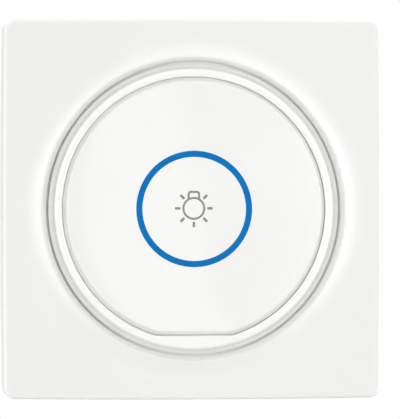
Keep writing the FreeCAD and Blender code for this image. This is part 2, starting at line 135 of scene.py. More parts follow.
class Finish(Graph):  # a material round one Principled shader
    def __init__(self, name, **constants):
        self.material = bpy.data.materials.new(name)
        self.material.use_nodes = True
        super().__init__(self.material.node_tree)
        self.shader = self.tree.nodes["Principled BSDF"]
        for socket, value in constants.items():
            self.set(socket.replace("_", " "), value)

    def set(self, socket, value):
        self.feed(self.shader.inputs[socket], value)

    def where(self):  # object coordinates, in metres
        return self.node("ShaderNodeTexCoord", None, None, "Object")

    def fromAxis(self, where):  # distance from the plate's axis
        across, up = self.split(where)[::2]
        return (across * across + up * up) ** 0.5

    def noise(self, vector, scale, detail=2.0):
        return self.node("ShaderNodeTexNoise", None, {"Vector": vector, "Scale": scale, "Detail": detail})

    def stretched(self, vector, scale):
        return self.node("ShaderNodeMapping", None, {"Vector": vector, "Scale": scale})

    def toned(self, share, first, second):  # two screen colours
        return self.mixed(share, linear(*first), linear(*second))

    def dressed(self, tone, rough, height, depth, strength):  # the bump's depth is in metres
        relief = {"Height": height, "Distance": depth, "Strength": strength}
        self.set("Base Color", tone)
        self.set("Roughness", rough)
        self.set("Normal", self.node("ShaderNodeBump", None, relief))
        return self.material


def linear(red, green, blue):  # an 8-bit screen colour as the numbers a shader takes
    parts = [c / 255 for c in (red, green, blue)]
    return tuple(c / 12.92 if c <= 0.04045 else ((c + 0.055) / 1.055) ** 2.4 for c in parts) + (1.0,)


# finishes

plastic = {"drift": 55.0, "grain": 3600.0, "spread": 4, "warmth": 2, "driftRough": 0.1, "grainRough": 0.06,
           "driftHeight": 4.0, "relief": 0.6, "mattShadeFade": 0.2, "shadeSpread": 8, "frostRough": 0.3}


def warmGrey(level):
    return linear(level, level, level - plastic["warmth"])


def mouldedWhite(name, white, rough, grainDepth, coat, coatRough, gloss, mattAndShade=None):
    s = plastic
    finish = Finish(name, Coat_Weight=coat, Coat_Roughness=coatRough, Specular_IOR_Level=gloss, IOR=1.49)
    where = finish.where()
    drift = finish.noise(where, s["drift"], 3.0)
    grain = finish.noise(where, s["grain"])
    tone = finish.mixed(drift, warmGrey(white - s["spread"]), warmGrey(white))
    rough = rough + (drift - 0.5) * s["driftRough"] + (grain - 0.5) * s["grainRough"]
    if mattAndShade:  # matt beyond a radius, and greyer there: painted shade on the bevels and slopes that fall into the gaps
        radius, shadeGrey = mattAndShade
        mattShadeMask = finish.clamped((finish.fromAxis(where) - radius * mm) / (s["mattShadeFade"] * mm))
        # the greyer tone is painted shade, not a colour of the plastic
        paintedShade = finish.mixed(grain, warmGrey(shadeGrey), warmGrey(shadeGrey + s["shadeSpread"]))
        tone = finish.mixed(mattShadeMask, tone, paintedShade)
        rough = rough + mattShadeMask * s["frostRough"]
        finish.set("Coat Weight", (1 - mattShadeMask) * coat)
    return finish.dressed(tone, rough, grain + drift * s["driftHeight"], grainDepth, s["relief"])


def inlayBlue(halfWidth=0.7):  # tinted ring, a little deeper in tone along its edges
    finish = Finish("inlayBlue", Specular_IOR_Level=0.06)
    where = finish.where()
    middle = (inlayHigh[0] - halfWidth) * mm
    edge = finish.clamped(abs(finish.fromAxis(where) - middle) / (halfWidth * mm))
    cloud = finish.noise(where, 380.0, 3.0)
    share = finish.clamped(edge ** 3.0 * 0.5 + cloud * 0.35)
    tone = finish.toned(share, (1, 122, 199), (0, 105, 177))
    return finish.dressed(tone, 0.5 + cloud * 0.15, finish.noise(where, 4200.0), 0.000004, 0.5)


def speckled(name, scale, dark, pale, rough, depth, **constants):  # one noise for tone, shine and relief
    finish = Finish(name, **constants)
    speck = finish.noise(finish.where(), scale)
    least, more = rough
    return finish.dressed(finish.toned(speck, dark, pale), least + speck * more, speck, depth, 0.5)


def foamTape():  # closed-cell foam, its cells cut open
    finish = Finish("foamTape")
    where = finish.where()
    cell = finish.node("ShaderNodeTexVoronoi", None, {"Vector": where, "Scale": 2600.0})
    cloud = finish.noise(where, 160.0, 4.0)
    tone = finish.toned(cell * 0.6 + cloud * 0.4, (205, 204, 198), (240, 239, 234))
    return finish.dressed(tone, 0.75 + cell * 0.2, cell, 0.00008, 0.8)


def greenLaminate():  # solder mask over copper tracks and woven fibre
    finish = Finish("greenLaminate", IOR=1.5)
    where = finish.where()
    facing = finish.node("ShaderNodeMapping", None, {"Vector": where, "Rotation": (math.pi / 2, 0, 0)})
    black = (0, 0, 0, 1)
    brick = finish.node("ShaderNodeTexBrick", {"offset": 0.37, "squash": 0.6},
                        {"Vector": facing, "Scale": 160.0, "Mortar Size": 0.07, "Brick Width": 0.9,
                         "Row Height": 0.42, "Color1": black, "Color2": black, "Mortar": (1, 1, 1, 1)})
    track = finish.node("ShaderNodeSeparateColor", None, {0: brick})
    weave = finish.noise(finish.stretched(where, (1.0, 1.0, 6.0)), 900.0)
    mask = finish.toned(track * 0.75, (20, 92, 52), (48, 134, 78))
    tone = finish.mixed(weave * 0.25, mask, linear(12, 66, 40))
    return finish.dressed(tone, 0.3 + weave * 0.15, track + weave * 0.1, 0.00003, 0.7)


def mouldedBlack():  # switch bodies
    finish = Finish("mouldedBlack", IOR=1.5)
    where = finish.where()
    speck = finish.noise(where, 7000.0, 3.0)
    tone = finish.toned(finish.noise(where, 500.0), (26, 26, 28), (40, 40, 42))
    return finish.dressed(tone, 0.42 + speck * 0.25, speck, 0.00001, 0.7)


def brushedSteel(name, tone, rough, grain):  # rolled strip, brushed one way
    finish = Finish(name, Metallic=1.0)
    where = finish.where()
    brush = finish.noise(finish.stretched(where, grain), 700.0, 3.0)
    cloud = finish.noise(where, 260.0)
    dull = linear(*tone)
    bright = tuple(min(1.0, c * 1.12) for c in dull[:3]) + (1.0,)
    mix = finish.mixed(cloud * 0.6 + brush * 0.4, dull, bright)
    return finish.dressed(mix, rough + brush * 0.16, brush, 0.000006, 0.6)


def copperWire():  # lacquered wire
    finish = Finish("copperWire", Metallic=1.0, Coat_Weight=0.6, Coat_Roughness=0.15)
    where = finish.where()
    cloud = finish.noise(where, 700.0, 3.0)
    tone = finish.toned(cloud, (184, 100, 58), (222, 142, 92))
    return finish.dressed(tone, 0.22 + cloud * 0.18, finish.noise(where, 9000.0), 0.000004, 0.5)


def tinnedEnds(name, axis, centre, half, dark, pale):  # small part whose ends or legs are tinned
    finish = Finish(name)
    where = finish.where()
    end = abs(finish.split(where)[axis] - centre * mm) > half * mm
    speck = finish.noise(where, 6000.0, 3.0)
    body = finish.toned(speck, dark, pale)
    solder = finish.toned(speck, (186, 186, 188), (212, 212, 213))
    finish.set("Metallic", end)
    rough = 0.5 - end * 0.2 + speck * 0.2
    return finish.dressed(finish.mixed(end, body, solder), rough, speck, 0.000008, 0.6)


finishes = {material.name: material for material in (
    mouldedWhite("satinWhite", 245, 0.45, 0.0000035, 0.0, 0.3, 0.1),
    # the last pair: the radius where the white turns matt, and the grey of the painted shade beyond it, on
    # the button's bevel and the bezel's slope into the groove
    mouldedWhite("glossWhite", 247, 0.22, 0.000002, 0.8, 0.03, 0.4, (28.4, 231)),
    # brighter than the button's white: painted highlight on the bezel's flat top
    mouldedWhite("bezelWhite", 251, 0.22, 0.000002, 0.4, 0.08, 0.4, (31.4, 226)),
    mouldedWhite("baseWhite", 240, 0.55, 0.000012, 0.0, 0.3, 0.5),
    inlayBlue(),
    speckled("printGrey", 9000.0, (118, 118, 117), (140, 140, 138), (0.45, 0.2), 0.000003),
    foamTape(),
    greenLaminate(),
    mouldedBlack(),
    brushedSteel("tinnedSteel", (196, 196, 198), 0.24, (30.0, 1.0, 1.0)),
    brushedSteel("cellSteel", (206, 205, 201), 0.2, (1.0, 1.0, 24.0)),
    copperWire(),
    tinnedEnds("resistorBlack", 0, -13.4, 0.5, (22, 22, 24), (38, 38, 40)),
    tinnedEnds("capacitorTan", 0, -13.4, 0.5, (150, 116, 78), (178, 144, 102)),
    tinnedEnds("chipBlack", 0, -7.5, 1.96, (24, 24, 26), (42, 42, 44)),
    tinnedEnds("transistorBlack", 2, 6.4, 0.66, (24, 24, 26), (42, 42, 44)),
    tinnedEnds("crystalLid", 1, 0.0, boardHigh[2] + 0.52, (196, 178, 140), (214, 198, 164)),
    speckled("clearLens", 2400.0, (226, 226, 214), (246, 244, 232), (0.18, 0.15), 0.00001,
             IOR=1.5, Coat_Weight=0.4),
)}
print("finishes made,", len(finishes))


# outlines and loops: points in millimetres, flat (across, up) or lifted (across, up, out)

def spokes(angles):
    return np.stack([np.cos(angles), np.sin(angles)], 1)


def roundOutline(middle, radius, count):
    return np.array(middle) + radius * spokes(np.linspace(0, 2 * math.pi, count, endpoint=False))


def lifted(outline, out):
    return np.column_stack([outline, np.full(len(outline), out)])


def bearings(outline):  # direction of each point from the middle of the plate
    points = outline[0]
    return np.arctan2(points[:, 1], points[:, 0])


def circleLoops(angles, section):  # a loop for each (radius, out)
    return [lifted(radius * spokes(angles), out) for radius, out in section]


def outlineLoops(outline, section):  # a loop for each (inset, out), round points with outward normals
    points, normals = outline
    return [lifted(points - normals * inset, out) for inset, out in section]


def between(first, second, share):
    return first * (1 - share) + second * share


def span(middle, width):
    return middle - width / 2, middle + width / 2


def arcSteps(centre, radius, start, end, count):  # points of a round in a section, angles in degrees
    angles = np.radians(np.linspace(start, end, count))
    return [(centre[0] + radius * math.cos(a), centre[1] + radius * math.sin(a)) for a in angles]


def turnedAbout(points, degrees):  # about the middle of the plate
    a = math.radians(degrees)
    spin = np.array([(math.cos(a), math.sin(a), 0), (-math.sin(a), math.cos(a), 0), (0, 0, 1)])
    size = points.shape[1]
    return points @ spin[:size, :size]


def flipped(points):  # on the other side, left to right
    return points * np.array([-1, 1, 1])


# shells: lifted points and faces

def shell(loops, ring):  # quads from loop to loop; a ring joins its last loop to its first
    count = len(loops[0])
    total = len(loops)
    faces = []
    for k in range(total if ring else total - 1):
        low = k * count
        high = (k + 1) % total * count
        for i in range(count):
            j = (i + 1) % count
            faces.append((low + i, low + j, high + j, high + i))
    if not ring:
        faces.append(tuple(range(count)))
        faces.append(tuple(range((total - 1) * count, total * count)))
    return np.concatenate(loops), faces


def platedShell(outline, low, high):  # a flat plate of any outline
    return shell([lifted(outline, out) for out in (low, high)], False)


def ribbonShell(outer, inner, low, high):  # a flat closed band between two outlines
    steps = ((outer, low), (outer, high), (inner, high), (inner, low))
    return shell([lifted(outline, out) for outline, out in steps], True)


def blockShell(across, up, out):  # from three spans
    corners = ((0, 0), (1, 0), (1, 1), (0, 1))
    return platedShell([(across[i], up[j]) for i, j in corners], *out)


def sectionShell(section, across):  # one section (up, out) carried along the width
    return shell([np.array([(x, up, out) for up, out in section], float) for x in across], False)


def addShell(mesh, points, faces, soften=0.0):  # merges, turns outward, rounds the sharp edges
    raw = bpy.data.meshes.new("raw")
    raw.from_pydata([(x * mm, -out * mm, up * mm) for x, up, out in points], [], faces)
    part = bmesh.new()
    part.from_mesh(raw)
    bmesh.ops.remove_doubles(part, verts=part.verts, dist=2e-7)
    bmesh.ops.recalc_face_normals(part, faces=part.faces)
    if soften:
        softenEdges(part, soften)
    part.to_mesh(raw)
    part.free()
    mesh.from_mesh(raw)
    bpy.data.meshes.remove(raw)


def softenEdges(part, width, angle=28.0):
    sharp = [e for e in part.edges if e.is_manifold and e.calc_face_angle() > math.radians(angle)]
    bmesh.ops.bevel(part, geom=sharp, offset=width * mm, segments=2, profile=0.5, affect="EDGES",
                    clamp_overlap=True)


def addPairs(mesh, shells, soften):  # each on both sides, left and right
    for points, faces in shells:
        addShell(mesh, points, faces, soften)
        addShell(mesh, flipped(points), faces, soften)


def looseObject(name, points, faces):
    part = bmesh.new()
    addShell(part, points, faces)
    mesh = bpy.data.meshes.new(name)
    part.to_mesh(mesh)
    part.free()
    made = bpy.data.objects.new(name, mesh)
    scene.collection.objects.link(made)
    return made


def makePiece(name, part, body, finish, nodes=(), sharp=32.0):
    mesh = bpy.data.meshes.new(name)
    part.to_mesh(mesh)
    part.free()
    mesh.shade_smooth()
    mesh.set_sharp_from_angle(angle=math.radians(sharp))
    mesh.materials.append(finishes[finish])
    piece = bpy.data.objects.new(name, mesh)
    scene.collection.objects.link(piece)
    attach(piece, body)
    if nodes:
        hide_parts(*nodes)
    return piece


# cover frame

cover = {
    "bow": 0.3, "corner": 2.7, "edge": 0.9, "wall": 1.8, "ceiling": 7.8, "ceilingSoft": 0.4,
    "opening": 33.32, "sill": 0.48, "sillRise": 0.5, "sillSlant": 0.05,
    "lip": 1.08, "lipLean": 45.0, "lipFoot": 0.1, "lipSoft": 0.04,
    "crestRound": 0.5, "flareWidth": 5.0, "rise": 1.5, "wallRows": (2.5, 2.0),
    "notchHalf": 6.0, "notchTop": 2.0, "heel": 0.15, "sideSteps": 150, "cornerSteps": 14,
    "ribOffset": 31.0, "ribWidth": 1.2, "ribDepth": 2.6, "ribFoot": 3.8, "ribSoft": 0.12,
    "ridgeOffset": 20.0, "ridgeLength": 8.0, "ridgeDepth": 0.35, "ridgeOut": (1.9, 2.7), "ridgeSoft": 0.1,
}


def bowedOutline(half, s):  # points, outward normals and notch marks, anticlockwise from the lower left
    end = half - s["bow"]
    sweep = (end ** 2 + s["bow"] ** 2) / (2 * s["bow"])
    rest = sweep - half
    inner = sweep - s["corner"]
    middle = (math.sqrt(2 * inner ** 2 - rest ** 2) - rest) / 2
    reach = math.atan2(middle, middle + rest)
    notch = math.asin(s["notchHalf"] / sweep)
    tiny = notch * 1e-6
    steps = [-notch - tiny, -notch + tiny, notch - tiny, notch + tiny]
    spots = np.sort(np.concatenate([np.linspace(-reach, reach, s["sideSteps"]), steps]))
    side = np.stack([np.sin(spots), -np.cos(spots)], 1)
    bend = spokes(np.linspace(-math.pi / 2 + reach, -reach, s["cornerSteps"] + 2)[1:-1])
    points = np.concatenate([side * sweep + [0, rest], bend * s["corner"] + [middle, -middle]])
    normals = np.concatenate([side, bend])
    marks = np.zeros(4 * len(points), bool)
    marks[:len(spots)] = np.abs(spots) < notch
    around = [np.concatenate([turnedAbout(quarter, turn) for turn in (0, 90, 180, 270)])
              for quarter in (points, normals)]
    return *around, marks


def rimSection(s, crest):  # sill, opening wall, slanted lip, crest and concave flare, from the inside out
    crestRadius = s["opening"] + s["lip"]
    field = crest - s["rise"]
    flareRound = s["flareWidth"] ** 2 / (2 * s["rise"]) - s["crestRound"] + s["rise"] / 2
    low = (crestRadius, crest - s["crestRound"])
    high = (crestRadius + s["flareWidth"], field + flareRound)
    tangent = math.degrees(math.atan2(high[1] - low[1], s["flareWidth"]))
    crestLine = arcSteps(low, s["crestRound"], 90 + s["lipLean"], tangent, 15)
    start, height = crestLine[0]
    foot = height - (start - s["opening"]) * math.tan(math.radians(s["lipLean"]))
    inner = s["opening"] - s["sill"]  # low sill that closes the groove round the bezel
    sillTop = s["ceiling"] + s["sillRise"]
    section = [(inner, s["ceiling"]), (inner, sillTop), (s["opening"], sillTop + s["sillSlant"]),
               (s["opening"], foot - s["lipFoot"]), (s["opening"] + s["lipSoft"], foot + s["lipSoft"])]
    return section + crestLine + arcSteps(high, flareRound, 180 + tangent, 270, 13)[1:]


def frameCover():
    s = cover
    half = plateHigh[0]
    *outline, notch = bowedOutline(half, s)
    back = plateLow[2]
    field = plateHigh[2] - s["rise"]
    loops = circleLoops(bearings(outline), rimSection(s, plateHigh[2]))
    rounded = outlineLoops(outline, arcSteps((s["edge"], field - s["edge"]), s["edge"], 90, 180, 8))
    loops += [between(loops[-1], rounded[0], share) for share in (0.25, 0.5, 0.75)] + rounded
    inside, heel, soft, notchTop = s["wall"], s["heel"], s["ceilingSoft"], s["notchTop"]
    upper, lower = s["wallRows"]
    skirt = [(0, field - upper), (0, notchTop + lower), (0, notchTop), (0, back + heel),
             (heel * 0.3, back + heel * 0.3), (heel, back), (inside - heel, back), (inside, back + heel),
             (inside, notchTop), (inside, s["ceiling"] - soft), (inside + soft, s["ceiling"])]
    for loop in outlineLoops(outline, skirt):
        loop[notch, 2] = np.maximum(loop[notch, 2], notchTop)
        loops.append(loop)
    loops += [between(loops[-1], loops[0], share) for share in (0.35, 0.7)]
    part = bmesh.new()
    addShell(part, *shell(loops, True))
    inner = half - inside
    outer = half - inside / 2
    for turn in (0, 90, 180, 270):
        for up in (-s["ribOffset"], s["ribOffset"]):
            points, faces = blockShell((inner - s["ribDepth"], outer), span(up, s["ribWidth"]),
                                       (s["ribFoot"], s["ceiling"] + soft))
            addShell(part, turnedAbout(points, turn), faces, s["ribSoft"])
    for up in (-s["ridgeOffset"], s["ridgeOffset"]):
        ridge = blockShell((inner - s["ridgeDepth"], outer), span(up, s["ridgeLength"]), s["ridgeOut"])
        addPairs(part, [ridge], s["ridgeSoft"])
    return makePiece("frameCover", part, "housing", "satinWhite", ["front_frame"])


frameCover()
print("cover frame made")


# outline shared by the button and its opening: a circle with one flat and rounded corners

def flattedOutline(radius, flat, corner, roundSteps=420, cornerSteps=14, flatSteps=40):
    inner = radius - corner
    height = -flat + corner
    reach = math.sqrt(inner ** 2 - height ** 2)
    lean = math.atan2(height, reach)
    arch = spokes(np.linspace(lean, math.pi - lean, roundSteps))
    left = spokes(np.linspace(math.pi - lean, 1.5 * math.pi, cornerSteps + 2)[1:])
    right = spokes(np.linspace(-math.pi / 2, lean, cornerSteps + 2)[:-1])
    along = np.linspace(-reach, reach, flatSteps + 2)[1:-1]
    chord = np.stack([along, np.full(flatSteps, -flat)], 1)
    down = np.tile([0.0, -1.0], (flatSteps, 1))
    points = [arch * radius, left * corner + [-reach, height], chord, right * corner + [reach, height]]
    return np.concatenate(points), np.concatenate([arch, left, down, right])


# bezel ring

bezel = {
    "outer": 32.8, "inner": 29.74, "flat": 28.47, "corner": 1.4, "proud": 0.3, "depth": 3.0, "edge": 0.45,
    "lipDepth": 0.55, "undercut": 0.25, "undercutRise": 0.2,
    "ledge": 0.75, "step": 0.8, "slope": 0.8, "ledgeDrop": 0.4, "shoulder": 1.0, "soft": 0.45, "rim": 0.3,
    "legWidth": 6.0, "legThick": 1.5, "legInset": 0.3, "legFoot": 2.0, "legRoot": 0.2, "legSoft": 0.15,
    "lugRoot": 0.5, "lugReach": 1.9, "lugOut": (6.6, 7.8),
    "cradleX": 12.9, "cradleWidth": 2.4, "cradleRoot": 0.3, "bore": 1.15, "cradleWall": 1.3, "mouth": 1.9,
    "ledgeX": 11.0, "ledgeWidth": 4.0, "ledgeUp": -27.1, "ledgeThick": 1.0, "ledgeEnd": 0.915,
    "holdSoft": 0.08,
}


def stepSection(s, top, under):  # flat top, soft shoulder, slope, hollow, falling ledge and outer edge
    steep = math.atan2(s["step"], s["slope"])
    gentle = math.atan2(s["ledgeDrop"], s["ledge"])
    low = top - s["step"]
    start = s["outer"] - s["ledge"]
    run = s["shoulder"] * math.tan(steep / 2)
    crown = (start - s["slope"] - run, top - s["shoulder"])
    section = arcSteps(crown, s["shoulder"], 90, 90 - math.degrees(steep), 10)
    run = s["soft"] * math.tan((steep - gentle) / 2)
    hollow = (start - run * math.cos(steep) + s["soft"] * math.sin(steep),
              low + run * math.sin(steep) + s["soft"] * math.cos(steep))
    section += arcSteps(hollow, s["soft"], 270 - math.degrees(steep), 270 - math.degrees(gentle), 6)
    rim = s["rim"]
    end = s["outer"] - rim + rim * math.sin(gentle)
    turn = (s["outer"] - rim, low - (end - start) * math.tan(gentle) - rim * math.cos(gentle))
    section += arcSteps(turn, rim, 90 - math.degrees(gentle), 0, 4)
    return section + [(s["outer"], under)]


def cradleSection(s, under):  # open bearing for a trunnion: block with a bore and a snap-in mouth
    half = s["bore"] + s["cradleWall"]
    mouth = s["mouth"] / 2
    lean = math.degrees(math.acos(mouth / s["bore"]))
    bore = arcSteps((hingeUp, hingeOut), s["bore"], 180 - lean, 360 + lean, 30)
    top = under + s["cradleRoot"]
    foot = hingeOut - half
    reach = math.sqrt((s["outer"] - s["legInset"]) ** 2 - (s["cradleX"] + s["cradleWidth"]) ** 2)
    return bore + [(hingeUp + mouth, top), (reach, top), (reach, foot), (hingeUp - half, foot),
                   (hingeUp - half, top), (hingeUp - mouth, top)]


def bezelRing():
    s = bezel
    top = plateHigh[2] + s["proud"]
    under = top - s["depth"]
    root = under + s["legRoot"]
    outline = flattedOutline(s["inner"], s["flat"], s["corner"])
    lip = top - s["lipDepth"]
    bore = [(-s["undercut"], under), (-s["undercut"], lip - s["undercutRise"]), (0, lip)]
    bore += arcSteps((-s["edge"], top - s["edge"]), s["edge"], 0, 90, 6)
    loops = outlineLoops(outline, bore)
    section = circleLoops(bearings(outline), stepSection(s, top, under))
    loops += [between(loops[-1], section[0], share) for share in (0.35, 0.7)] + section
    part = bmesh.new()
    addShell(part, *shell(loops, True))
    outside = s["outer"] - s["legInset"]
    wide = span(0, s["legWidth"])
    leg = blockShell((outside - s["legThick"], outside), wide, (s["legFoot"], root))
    lug = blockShell((outside - s["lugRoot"], s["outer"] + s["lugReach"]), wide, s["lugOut"])
    for turn in (45, 135, 225, 315):
        for points, faces in (leg, lug):
            addShell(part, turnedAbout(points, turn), faces, s["legSoft"])
    cradle = sectionShell(cradleSection(s, under), (s["cradleX"], s["cradleX"] + s["cradleWidth"]))
    ledge = blockShell(span(s["ledgeX"], s["ledgeWidth"]), (-outside * s["ledgeEnd"], s["ledgeUp"]),
                       (under - s["ledgeThick"], root))
    addPairs(part, [cradle, ledge], s["holdSoft"])
    return makePiece("bezelRing", part, "housing", "bezelWhite", ["bezel_ring"])


bezelRing()
print("bezel ring made")


# button

button = {
    "radius": 29.8, "flat": 28.53, "corner": 1.4, "sunk": 0.02, "thick": 1.6, "depth": 2.2,
    "edge": 1.25, "edgeLean": 42.0, "edgeSoft": 0.3, "edgeTurn": 1.8, "edgeSteep": 80.0,
    "skirt": 1.2, "soft": 0.1, "inlayInner": 11.7, "inlayOuter": 13.1, "inlayDepth": 0.5,
    "faceRows": (1.2, 6.0), "backRows": (12.0, 1.2),
    "postRadius": 2.0, "postUp": 6.0, "postLength": 0.85,
    "earX": 10.6, "earWidth": 2.0, "earRound": 1.6, "pinRadius": 1.1, "pinEnd": 15.3, "pinRoot": 0.4,
    "hookX": 11.0, "hookWidth": 3.0, "hookInset": 3.05, "hookThick": 1.2, "hookReach": 1.5, "hookTop": 7.3,
    "hookHeight": 1.0, "ribWidth": 1.0, "ribHeight": 0.8, "ribRoot": 0.4,
}


def bevelSteps(s, face):  # edge of the face: a soft shoulder, a bevel, then a turn down to the wall
    lean, steep = math.radians(s["edgeLean"]), math.radians(s["edgeSteep"])
    steps = arcSteps((s["edge"], face - s["edgeSoft"]), s["edgeSoft"], 90, 90 + s["edgeLean"], 8)
    inset, out = steps[-1]
    end = s["edgeTurn"] * (math.sin(steep) - math.sin(lean))
    out -= (inset - end) * math.tan(lean)
    middle = (end + s["edgeTurn"] * math.sin(lean), out - s["edgeTurn"] * math.cos(lean))
    return steps + arcSteps(middle, s["edgeTurn"], 90 + s["edgeLean"], 90 + s["edgeSteep"], 8)


def pressButton():
    s = button
    top = capHigh[2]
    face = top - s["sunk"]
    under = top - s["thick"]
    rim = top - s["depth"]
    groove = top - s["inlayDepth"]
    inner, outer, skirt, soft = s["inlayInner"], s["inlayOuter"], s["skirt"], s["soft"]
    outline = flattedOutline(s["radius"], s["flat"], s["corner"])
    angles = bearings(outline)
    loops = circleLoops(angles, [(r, face) for r in s["faceRows"]])
    loops += circleLoops(angles, [(inner, face), (inner, groove), (outer, groove), (outer, face)])
    rounded = outlineLoops(outline, bevelSteps(s, face))
    loops += [between(loops[-1], rounded[0], share) for share in (0.33, 0.67)] + rounded
    loops += outlineLoops(outline, [(0, rim + soft), (soft, rim), (skirt - soft, rim), (skirt, rim + soft),
                                    (skirt, under)])
    loops += circleLoops(angles, [(r, under) for r in s["backRows"]])
    part = bmesh.new()
    addShell(part, *shell(loops, False))
    root = under + s["ribRoot"]
    hookIn = -s["flat"] + s["hookInset"]
    hookOut = hookIn - s["hookThick"]
    tip = hookOut - s["hookReach"]
    high = s["hookTop"]
    low = high - s["hookHeight"]
    hookLine = [(hookIn, root), (hookIn, low), (hookOut, low), (tip, high - s["hookHeight"] / 2),
                (tip, high), (hookOut, high), (hookOut, root)]
    hook = sectionShell(hookLine, span(s["hookX"], s["hookWidth"]))
    pivot = (hingeUp, hingeOut)
    pinStart = s["earX"] + s["earWidth"]
    earLine = arcSteps(pivot, s["earRound"], 180, 360, 25)
    earLine += [(hingeUp + s["earRound"], root), (hingeUp - s["earRound"], root)]
    ear = sectionShell(earLine, (s["earX"], pinStart))
    pin = sectionShell(roundOutline(pivot, s["pinRadius"], 48), (pinStart - s["pinRoot"], s["pinEnd"]))
    ribX = s["earX"] + s["earWidth"] / 2
    ribOut = (under - s["ribHeight"], root)
    rib = blockShell(span(ribX, s["ribWidth"]), (hookIn, hingeUp), ribOut)
    addPairs(part, [hook, ear, pin, rib], soft)
    addShell(part, *blockShell((-ribX, ribX), span(s["postUp"], s["ribWidth"]), ribOut), soft)
    postLine = roundOutline((0, s["postUp"]), s["postRadius"], 64)
    addShell(part, *platedShell(postLine, under - s["postLength"], root), soft)
    return makePiece("pressButton", part, "button", "glossWhite", ["button_cap"])


pressButton()
print("button made")


# geometry trees

def openTree(name, inputs):  # a tree with these inputs, and their sockets by name
    tree = bpy.data.node_groups.new(name, "GeometryNodeTree")
    for label, kind in inputs.items():
        tree.interface.new_socket(label, in_out="INPUT", socket_type="NodeSocket" + kind)
    tree.interface.new_socket("Geometry", in_out="OUTPUT", socket_type="NodeSocketGeometry")
    g = Graph(tree)
    return g, g.outputs("NodeGroupInput")


def closeTree(g, shape, finish):  # real faces in one finish
    solid = g.node("GeometryNodeRealizeInstances", None, {"Geometry": shape})
    worn = g.node("GeometryNodeSetMaterial", None, {"Geometry": solid, "Material": finish})
    g.node("NodeGroupOutput", None, {"Geometry": worn})
    return g.tree


def evaluated(tree, settings):  # runs a geometry tree and returns its result as a plain mesh
    holder = bpy.data.objects.new("holder", bpy.data.meshes.new("holder"))
    scene.collection.objects.link(holder)
    modifier = holder.modifiers.new("nodes", "NODES")
    modifier.node_group = tree
    for item in tree.interface.items_tree:
        if item.in_out == "INPUT" and item.name in settings:
            modifier[item.identifier] = settings[item.name]
    holder.update_tag()
    graph = bpy.context.evaluated_depsgraph_get()
    mesh = bpy.data.meshes.new_from_object(holder.evaluated_get(graph))
    holder.modifiers.remove(modifier)
    bpy.data.objects.remove(holder)
    return mesh


def turnedCopies():  # copies of one shape, turned about an axis that stands out from the wall
    g, given = openTree("turnedCopies", {"Shape": "Object", "Count": "Int", "First Angle": "Float",
                                         "Step Angle": "Float", "Centre": "Vector", "Finish": "Material"})
    line = g.node("GeometryNodeMeshLine", {"mode": "OFFSET"},
                  {"Count": given["Count"], "Start Location": given["Centre"], "Offset": (0.0, 0.0, 0.0)})
    shape = g.node("GeometryNodeObjectInfo", None, {"Object": given["Shape"]}, "Geometry")
    turn = g.node("GeometryNodeInputIndex") * given["Step Angle"] + given["First Angle"]
    spin = g.node("ShaderNodeCombineXYZ", None, {"Y": turn})
    copies = g.node("GeometryNodeInstanceOnPoints", None,
                    {"Points": line, "Instance": shape, "Rotation": spin})
    return closeTree(g, copies, given["Finish"])


def copiesOf(shape, count, first, step, finish, middle=(0.0, 0.0)):  # uses up the shape
    mesh = evaluated(turnedCopies(), {
        "Shape": shape, "Count": count, "First Angle": math.radians(first), "Step Angle": math.radians(step),
        "Centre": (middle[0] * mm, 0.0, middle[1] * mm), "Finish": finishes[finish]})
    bpy.data.objects.remove(shape)
    return mesh


# lamp sign on the button: bulb ring, cap and rays

sign = {"thick": 0.02, "middle": (-0.1, 0.12), "bulb": 2.35, "line": 0.47,
        "capWidth": 2.85, "capHigh": 3.95, "capRound": 0.75, "capTaper": 0.7, "sunk": 0.003,
        "ray": (3.0, 4.3), "rayWidth": 0.58, "rayRound": 0.48,
        "rayCount": 7, "rayFirst": -135.0, "rayStep": -45.0}


def roundedBox(across, up, radius, steps=8):  # outline from two spans
    corners = [(across[1] - radius, up[1] - radius, 0), (across[0] + radius, up[1] - radius, 90),
               (across[0] + radius, up[0] + radius, 180), (across[1] - radius, up[0] + radius, 270)]
    found = []
    for x, y, start in corners:
        found += arcSteps((x, y), radius, start, start + 90, steps)
    return np.array(found)


def capArch(s):  # arch whose two feet end in the middle of the bulb's line
    found = []
    for inset in (0.0, s["line"]):
        wide = s["capWidth"] / 2 - inset
        turn = s["capRound"] - inset * s["capTaper"]
        top = s["capHigh"] - inset - turn
        foot = math.sqrt(s["bulb"] ** 2 - wide ** 2)
        line = [(wide, foot)] + arcSteps((wide - turn, top), turn, 0, 90, 8)
        line += arcSteps((turn - wide, top), turn, 90, 180, 8) + [(-wide, foot)]
        found += line if inset == 0 else line[::-1]
    return np.array(found)


def lampSign():
    s = sign
    top = capHigh[2]
    low = top - s["thick"]
    inner, outer = [roundOutline(s["middle"], radius, 96) for radius in span(s["bulb"], s["line"])]
    part = bmesh.new()
    addShell(part, *ribbonShell(outer, inner, low, top))
    addShell(part, *platedShell(s["middle"] + capArch(s), low, top - s["sunk"]))
    rayLine = roundedBox(s["ray"], span(0, s["rayWidth"]), s["rayWidth"] * s["rayRound"])
    ray = looseObject("ray", *platedShell(rayLine, low, top))
    part.from_mesh(copiesOf(ray, s["rayCount"], s["rayFirst"], s["rayStep"], "printGrey", s["middle"]))
    return makePiece("lampSign", part, "button", "printGrey")


lampSign()
print("lamp sign made")


# wall base

